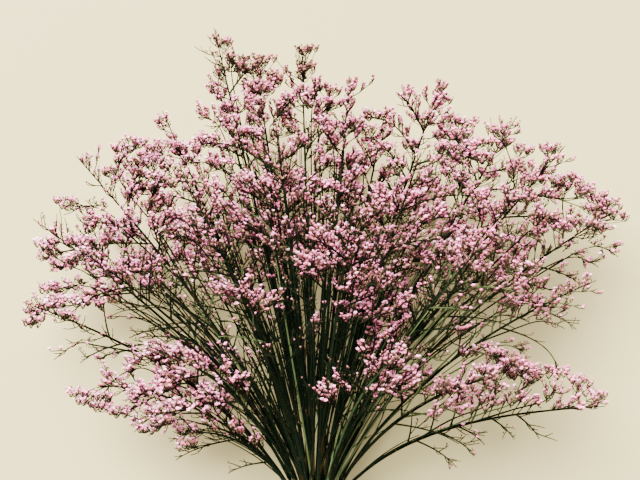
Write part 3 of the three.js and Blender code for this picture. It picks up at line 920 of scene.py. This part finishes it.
def chart_strands(mesh, facets):
    """Lays each strand's sides in its column of the chart, root at the bottom and tip at the top."""
    given = np.zeros(len(mesh.loops) * 2, np.float32)
    mesh.uv_layers[0].data.foreach_get("uv", given)
    given = given.reshape(-1, 2)
    columns = np.zeros(len(mesh.polygons), np.int32)
    mesh.polygons.foreach_get("material_index", columns)
    sizes = np.zeros(len(mesh.polygons), np.int32)
    mesh.polygons.foreach_get("loop_total", sizes)
    face = np.repeat(np.arange(len(sizes)), sizes)
    across = 1 - np.abs(2 * given[:, 1] - 1)
    up = 0.05 + 0.9 * given[:, 0]
    # The ends are triangles, those of a strand's tip before those of its root. They lie as small
    # rounds above and below the sides.
    end = sizes == 3
    root = (np.cumsum(end) - 1) // (facets - 2) % 2 == 1
    angle = 2 * math.pi * given[:, 0] * (facets - 1) / facets
    across = np.where(end[face], 0.5 + 0.4 * np.cos(angle), across)
    up = np.where(end[face], np.where(root[face], 0.02, 0.98) + 0.012 * np.sin(angle), up)
    while mesh.uv_layers:
        mesh.uv_layers.remove(mesh.uv_layers[0])
    set_chart(mesh, np.column_stack([in_column(columns[face], across), up]))
    mesh.polygons.foreach_set("material_index", np.zeros(len(sizes), np.int32))


def in_column(column, across):
    """A share of a column's width as a place across the chart, with a margin on both sides."""
    return (column + 0.1 + 0.8 * across) / COLUMNS


def joined(name, pieces):
    """Several meshes made one."""
    select_only(pieces[0])
    for piece in pieces[1:]:
        piece.select_set(True)
    bpy.ops.object.join()
    piece = bpy.context.object
    piece.name = piece.data.name = name
    return piece


def floret_template(facets, lobe, notch, depth, sunk):
    """One papery floret, its foot at the origin and its mouth up, modelled as a cone with a lobed rim."""
    bpy.ops.object.select_all(action="DESELECT")
    bpy.ops.mesh.primitive_cone_add(
        vertices=facets, radius1=0, radius2=lobe, depth=depth, end_fill_type="TRIFAN",
        location=(0, 0, depth / 2),
    )
    cone = bpy.context.object
    bpy.ops.object.transform_apply(location=True, rotation=False, scale=False)
    first = math.atan2(cone.data.vertices[0].co.x, cone.data.vertices[0].co.y)
    for vertex in cone.data.vertices:
        away = math.hypot(vertex.co.x, vertex.co.y)
        step = round((math.atan2(vertex.co.x, vertex.co.y) - first) / (2 * math.pi / facets))
        if away < 0.01 and vertex.co.z > depth / 2:
            vertex.co.z -= sunk
        elif away > 0.01 and step % 2:
            vertex.co.x *= notch
            vertex.co.y *= notch
            vertex.co.z -= depth * 0.1
    return template_arrays(cone, depth)


def template_arrays(cone, depth):
    """A template's points, corners, face sizes and chart. Its object is then dropped. The outer side
    lies in the lower part of the chart, and the inner side from 0.62 up."""
    mesh = cone.data
    points = np.array([v.co for v in mesh.vertices])
    sizes = np.array([len(p.vertices) for p in mesh.polygons])
    corners = np.concatenate([list(p.vertices) for p in mesh.polygons])
    chart = []
    for face in mesh.polygons:
        middle = face.center
        inner = middle.z > depth * 0.6 and face.normal.z > 0.2
        for x, y, z in points[list(face.vertices)]:
            away = math.hypot(x, y)
            angle = math.atan2(x, y) if away > 0.05 else math.atan2(middle.x, middle.y)
            if inner:
                along = 0.98 if away < 0.05 else 0.62
            else:
                along = 0.02 + 0.56 * max(0, z) / depth
            chart.append((abs(angle) / math.pi, along))
    bpy.data.objects.remove(cone)
    return points, corners, sizes, np.array(chart)


def florets_piece(name, stems, templates, scale):
    """All florets of some stems, as copies of the templates in one mesh."""
    rows = np.array([row for stem in stems for row in sprays()[stem].florets])
    parts, before = [], 0
    for kind, (points, corners, sizes, chart) in enumerate(templates):
        chosen = rows[rows[:, 9] == kind]
        place, facing, size, turn, freshness_and_painted_light = np.split(chosen[:, :9], (3, 6, 7, 8), axis=1)
        aside = unit(np.cross(facing, [0.3, 0.2, 0.93]))
        ahead = np.cross(facing, aside)
        cosine, sine = np.cos(turn), np.sin(turn)
        aside, ahead = aside * cosine + ahead * sine, ahead * cosine - aside * sine
        copies = place[:, None] + size[:, None] * scale * sum(
            points[:, axis, None] * way[:, None] for axis, way in enumerate((aside, ahead, facing))
        )
        placed = put(copies)
        placed[..., 2] += np.maximum(FLORET_ROOM - placed[..., 2].min(axis=1, keepdims=True), 0)
        count = len(chosen)
        charts = np.repeat(chart[None], count, axis=0)
        charts[..., 0] = in_column(np.floor(freshness_and_painted_light * COLUMNS), charts[..., 0])
        shifts = before + np.arange(count)[:, None] * len(points)
        corners = (corners + shifts).ravel()
        parts.append((placed.reshape(-1, 3), corners, np.tile(sizes, count), charts.reshape(-1, 2)))
        before += count * len(points)
    return faceted_mesh(name, *(np.concatenate(part) for part in zip(*parts)))


def ride_root(piece, nodes):
    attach(piece, "root")
    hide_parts(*nodes)


def node_names(stems):
    return [f"stem_{stem + 1:02d}" for stem in stems]


def stem_paint(settings):
    """Dried stems: dark green below, olive and brown on the twigs, with fine streaks."""
    paint = Paint(bpy.data.materials.new("dried_stem"))
    chart, across, along = paint.chart()
    old, young, green = settings.old_colour, settings.young_colour, settings.green_colour
    # Stems lie up to 0.31, branches up to 0.62 and twigs above it. The last strip of each is green.
    kinds = paint.ramp(
        across,
        (0.0, (6, 11, 7)), (0.14, old), (0.28, (16, 25, 18)), (0.3, (54, 70, 46)), (0.315, young),
        (0.5, (18, 27, 19)), (0.6, (22, 31, 22)), (0.615, green), (0.63, (14, 22, 16)),
        (0.8, (25, 35, 25)), (0.97, (30, 30, 22)), (1.0, (84, 98, 62)),
    )
    lot = paint.grain(chart, 37, 0.6, 3.1, 1)
    tinted = paint.blend((lot - 0.48) * 1.5, kinds, (36, 50, 36))
    streaks = paint.grain(chart, 190, 7, 4.0, 3)
    shaded = paint.blend(0.75 * streaks, tinted, (4, 7, 4))
    scars = paint.ramp(paint.grain(chart, 60, 30, 3.0, 2), (0.62, grey(0)), (0.68, grey(0.7)))
    marked = paint.blend(scars, shaded, (58, 50, 32))
    dryness = paint.ramp(along, (0.06, grey(0.8)), (0.13, grey(0)))
    dry = paint.blend(dryness, marked, (62, 50, 32))
    whole = paint.blend(along < 0.04, dry, (150, 130, 84))
    return paint.finish(
        Base_Color=whole, Roughness=0.6 + 0.25 * streaks, Specular_IOR_Level=0.012,
        Normal=paint.bump(streaks, 0.8, 0.0005),
    )


def floret_paint(settings):
    """Papery florets: a brown foot, darkened further as painted shade, a paler outer side and a pink mouth
    that fades with age and darkens in painted shade.
    """
    paint = Paint(bpy.data.materials.new("dried_floret"))
    chart, across, along = paint.chart()
    # From withered buds over beige and rusty ones to the freshest. Florets in painted shade take colours
    # lower down.
    age = paint.ramp(
        across,
        (0.0, (34, 38, 16)), (0.1, (60, 56, 28)), (0.17, (104, 82, 56)), (0.24, (172, 138, 114)),
        (0.31, (128, 80, 76)), (0.38, settings.faded_colour), (0.5, (222, 126, 156)),
        (0.66, settings.fresh_colour), (0.84, (252, 156, 206)), (1.0, (255, 206, 230)),
    )
    outer = paint.ramp(
        # The outer side: the brown calyx at the foot, darkened further as painted shade under the florets,
        # and paler higher up.
        along, (0.0, (30, 34, 14)), (0.2, (58, 42, 27)), (0.3, (118, 78, 74)), (0.42, (240, 229, 230))
    )
    inner = paint.ramp(along, (0.74, grey(1)), (0.9, (224, 176, 190)), (1.0, (150, 84, 92)))
    outside_with_painted_shade = paint.blend(1.0, age, outer, "MULTIPLY")
    inside = paint.blend(1.0, age, inner, "MULTIPLY")
    whole = paint.blend(along > 0.6, outside_with_painted_shade, inside)
    mottle = paint.grain(chart, 170, 9, 3.0, 2)
    whole = paint.blend(0.25 * mottle, whole, (150, 90, 104))
    return paint.finish(Base_Color=whole, Roughness=0.85, Specular_IOR_Level=0.1)


def twine_paint(settings):
    """Natural jute: straw-coloured plies with darker fibres along the twist."""
    paint = Paint(bpy.data.materials.new("jute_twine"))
    chart, _, _ = paint.chart()
    fibres = paint.grain(chart, 260, 60, 3.0, 4)
    lot = paint.grain(chart, 9, 14, 2.0, 2)
    straw = paint.blend(fibres, settings.colour, (74, 50, 26))
    worn = paint.blend(0.5 * lot, straw, (150, 118, 72))
    return paint.finish(
        Base_Color=worn, Roughness=0.75 + 0.2 * fibres, Specular_IOR_Level=0.1,
        Normal=paint.bump(fibres, 0.7, 0.0003),
    )


def floor_paint(settings):
    """A matt pale floor with faint clouds."""
    paint = Paint(bpy.data.materials.new("pale_floor"))
    cloud = paint.noise(paint.node("ShaderNodeTexCoord")[3], 1.3, 3)
    colour = settings.floor_colour
    tone = paint.blend(0.25 * cloud, colour, (*(0.93 * part for part in colour[:3]), 1))
    return paint.finish(Base_Color=tone, Roughness=0.95)


def studio_light():
    """Dim light from above, and a pale backdrop round the horizon."""
    paint = Paint(bpy.data.worlds.new("studio"))
    height = paint.node("ShaderNodeSeparateXYZ", None, {0: paint.node("ShaderNodeTexCoord")[0]})[2]
    tone = paint.ramp(
        height,
        (0.0, (0.92, 0.78, 0.42, 1)), (0.06, (0.84, 0.73, 0.44, 1)), (0.16, (0.3, 0.27, 0.19, 1)),
        (0.4, (0.05, 0.048, 0.042, 1)),
    )
    shine = paint.node("ShaderNodeBackground", None, {"Color": tone, "Strength": BACKDROP_STRENGTH})[0]
    paint.node("ShaderNodeOutputWorld", None, {"Surface": shine})
    return paint.owner


def colour_property(name, description, colour):
    return bpy.props.FloatVectorProperty(
        name=name, description=description, subtype="COLOR", size=4, min=0, max=1, default=linear(*colour)
    )


class StaticeStemSettings(bpy.types.PropertyGroup):
    thickness: bpy.props.FloatProperty(
        name="Thickness", description="Thickness of all stems and twigs against the real ones",
        default=1.0, min=0.5, max=1.5, subtype="FACTOR",
    )
    old_colour: colour_property("Stem Colour", "Colour of the cut stems", (10, 17, 12))
    young_colour: colour_property("Branch Colour", "Colour of the side branches", (14, 22, 16))
    green_colour: colour_property("Green Colour", "Colour of the few stems that stayed green", (98, 116, 72))


class StaticeFloretSettings(bpy.types.PropertyGroup):
    mouth_width: bpy.props.FloatProperty(
        name="Mouth Width", description="Width of an open floret",
        default=MOUTH_WIDTH, min=0.002, max=0.008, subtype="DISTANCE", unit="LENGTH",
    )
    fresh_colour: colour_property("Fresh Colour", "Colour of the pinkest florets", (240, 136, 184))
    faded_colour: colour_property("Faded Colour", "Colour of the oldest florets", (172, 94, 108))


class StaticeTieSettings(bpy.types.PropertyGroup):
    cord_width: bpy.props.FloatProperty(
        name="Cord Width", description="Thickness of the twine",
        default=0.0021, min=0.001, max=0.004, subtype="DISTANCE", unit="LENGTH",
    )
    colour: colour_property("Twine Colour", "Colour of the twine", (138, 102, 58))


class StaticeStageSettings(bpy.types.PropertyGroup):
    focal_length: bpy.props.FloatProperty(
        name="Focal Length", description="Focal length of the camera in millimetres",
        default=65, min=20, max=200, subtype="DISTANCE_CAMERA", unit="CAMERA",
    )
    key_strength: bpy.props.FloatProperty(
        name="Key Strength", description="Strength of the main light in watts per square metre",
        default=25, min=1, max=60,
    )
    fill_power: bpy.props.FloatProperty(
        name="Fill Power", description="Power of the light from the side of the cut ends",
        default=18, min=0, max=200, subtype="POWER", unit="POWER",
    )
    floor_colour: colour_property("Floor Colour", "Colour of the floor", (165, 154, 110))


class STATICE_OT_stems(bpy.types.Operator):
    """Builds the stems, branches and twigs of every part of the head"""

    bl_idname = "statice.stems"
    bl_label = "Stems"

    def execute(self, context):
        settings = context.scene.statice_stems
        material = stem_paint(settings)
        for part, stems in HEAD_PARTS.items():
            tubes = []
            for facets in (THICK, FINE):
                strands = [
                    (points, radii * settings.thickness, column, facets)
                    for stem in stems
                    for points, radii, column, wanted in sprays()[stem].strands
                    if wanted == facets
                ]
                tubes.append(swept(f"tubes_{facets}", strands, facets))
            piece = joined(f"stems_{part}", tubes)
            piece.data.materials.clear()
            piece.data.materials.append(material)
            ride_root(piece, node_names(stems))
        return {"FINISHED"}


class STATICE_OT_florets(bpy.types.Operator):
    """Builds the papery florets of every part of the head"""

    bl_idname = "statice.florets"
    bl_label = "Florets"

    def execute(self, context):
        settings = context.scene.statice_florets
        material = floret_paint(settings)
        templates = (floret_template(*OPEN_FLORET), floret_template(*CLOSED_FLORET))
        for part, stems in HEAD_PARTS.items():
            piece = florets_piece(f"florets_{part}", stems, templates, settings.mouth_width / MOUTH_WIDTH)
            piece.data.materials.append(material)
            ride_root(piece, node_names(stems))
        return {"FINISHED"}


class STATICE_OT_tie(bpy.types.Operator):
    """Builds the twine round the stems, with its knot and two ends"""

    bl_idname = "statice.tie"
    bl_label = "Tie"

    def execute(self, context):
        settings = context.scene.statice_tie
        piece = swept("twine", twine_strands(settings.cord_width / MM / 2), THICK)
        piece.data.materials.append(twine_paint(settings))
        ride_root(piece, ["tie"])
        return {"FINISHED"}


def plies(line, width):
    """Two plies of a twine of a given half width, wound round a line of points."""
    course = course_of(line)
    aside = square(np.broadcast_to([0.11, 0.97, 0.2], line.shape), course)
    ahead = np.cross(course, aside)
    run = np.concatenate([[0], np.cumsum(np.linalg.norm(np.diff(line, axis=0), axis=1))])
    strands = []
    for ply in range(2):
        turn = (run * (2 * math.pi / TWIST) + math.pi * ply)[:, None]
        points = line + (aside * np.cos(turn) + ahead * np.sin(turn)) * (width * 0.46)
        radii = np.full(len(line), width * 0.6 * MM)
        strands.append((put(points), radii, 10 + 30 * ply, THICK))
    return strands


def twine_strands(width):
    """The turns, the knot and the two frayed ends of the tie, from the half width of the twine."""
    random = np.random.default_rng([SEED, 99])
    turn = np.linspace(0, 2 * math.pi * TIE_TURNS, 260)
    rise = (turn / (2 * math.pi) - TIE_TURNS / 2) * width * 2
    ring = TIE_BORE + width
    strands = plies(np.column_stack([np.sin(turn) * ring, rise, np.cos(turn) * ring]), width)
    spin = np.linspace(0, 2 * math.pi * 1.6, 60)
    knot = np.column_stack([
        np.cos(spin) * 2.0, np.sin(spin) * 1.1 - 0.8 + spin * 0.1, np.sin(spin) * 1.5 + TIE_BORE + 2.6
    ])
    strands += plies(knot, width)
    for hand, length in TAILS:
        share = np.linspace(0, 1, 50)
        around = hand * 0.9 * smooth(share)
        away = TIE_BORE + 2.5 - 0.9 * share**2
        tail = np.column_stack([np.sin(around) * away, -length * share, np.cos(around) * away])
        strands += plies(tail, width)
        for _ in range(9):
            end = tail[-1] + random.normal(0, 1.4, 3) + (0, -random.uniform(3, 7), 0)
            fibre = bow(tail[-4], tail[-1] + random.normal(0, 0.5, 3), end, (0, 0.3, 0.6, 1))
            strands.append((put(fibre), np.linspace(0.22, 0.12, 4) * MM, random.integers(0, COLUMNS), THICK))
    return strands


class STATICE_OT_stage(bpy.types.Operator):
    """Builds the floor, the lights and the camera"""

    bl_idname = "statice.stage"
    bl_label = "Stage"

    def execute(self, context):
        settings = context.scene.statice_stage
        bpy.ops.object.select_all(action="DESELECT")
        bpy.ops.mesh.primitive_plane_add(size=FLOOR_SIZE)
        floor = bpy.context.object
        floor.name = "floor"
        floor.data.materials.append(floor_paint(settings))
        aim = Vector(put(AIM))
        context.scene.camera = self.add_camera(aim, settings.focal_length)
        key = self.add_light("key", "SUN", aim, (-0.5, 0.9, 1.5), settings.key_strength, WARM_WHITE)
        key.angle = KEY_ANGLE
        near = self.add_light("near", "AREA", aim, (-0.7, 0.9, 1.2), NEAR_POWER, WARM_WHITE)
        fill = self.add_light("fill", "AREA", aim, (0.5, -1.5, 0.8), settings.fill_power, WARMER_WHITE)
        near.size = fill.size = AREA_SIZE
        context.scene.world = studio_light()
        return {"FINISHED"}

    def add_camera(self, aim, focal_length):
        """A camera square above the bunch, with the flowers at the top of its picture."""
        back = Vector((0, -math.sin(LEAN), math.cos(LEAN)))
        top = Vector((0, math.cos(LEAN), math.sin(LEAN)))
        place = aim + back * (VIEW_WIDTH * focal_length / SENSOR_WIDTH)
        data = bpy.data.cameras.new("camera")
        data.lens = focal_length
        data.sensor_width = SENSOR_WIDTH
        camera = added("camera", data)
        for row in range(3):
            for column, axis in enumerate((top.cross(back), top, back, place)):
                camera.matrix_world[row][column] = axis[row]
        return camera

    def add_light(self, name, kind, aim, away, energy, colour):
        """A light that stands a given way from the aim and shines on it."""
        data = bpy.data.lights.new(name, kind)
        data.energy = energy
        data.color = colour
        light = added(name, data)
        light.location = aim + Vector(away)
        light.rotation_euler = (aim - light.location).to_track_quat("-Z", "Y").to_euler()
        return data


class STATICE_PT_bunch(bpy.types.Panel):
    """Lists the pieces of the bunch with their settings"""

    bl_idname = "STATICE_PT_bunch"
    bl_label = "Dried Statice Bunch"
    bl_space_type = "VIEW_3D"
    bl_region_type = "UI"
    bl_category = "Statice"

    def draw(self, context):
        for piece, settings in PIECES.items():
            box = self.layout.box()
            for name in settings.__annotations__:
                box.prop(getattr(context.scene, f"statice_{piece}"), name)
            box.operator(f"statice.{piece}")


PIECES = {
    "stems": StaticeStemSettings,
    "florets": StaticeFloretSettings,
    "tie": StaticeTieSettings,
    "stage": StaticeStageSettings,
}
OPERATORS = (STATICE_OT_stems, STATICE_OT_florets, STATICE_OT_tie, STATICE_OT_stage)
CLASSES = (*PIECES.values(), *OPERATORS, STATICE_PT_bunch)


def register():
    for each in CLASSES:
        bpy.utils.register_class(each)
    for piece, settings in PIECES.items():
        setattr(bpy.types.Scene, f"statice_{piece}", bpy.props.PointerProperty(type=settings))


def unregister():
    for piece in PIECES:
        delattr(bpy.types.Scene, f"statice_{piece}")
    for each in reversed(CLASSES):
        bpy.utils.unregister_class(each)


def main():
    register()
    bpy.ops.statice.stems()
    bpy.ops.statice.florets()
    bpy.ops.statice.tie()
    bpy.ops.statice.stage()


if __name__ == "__main__":
    main()
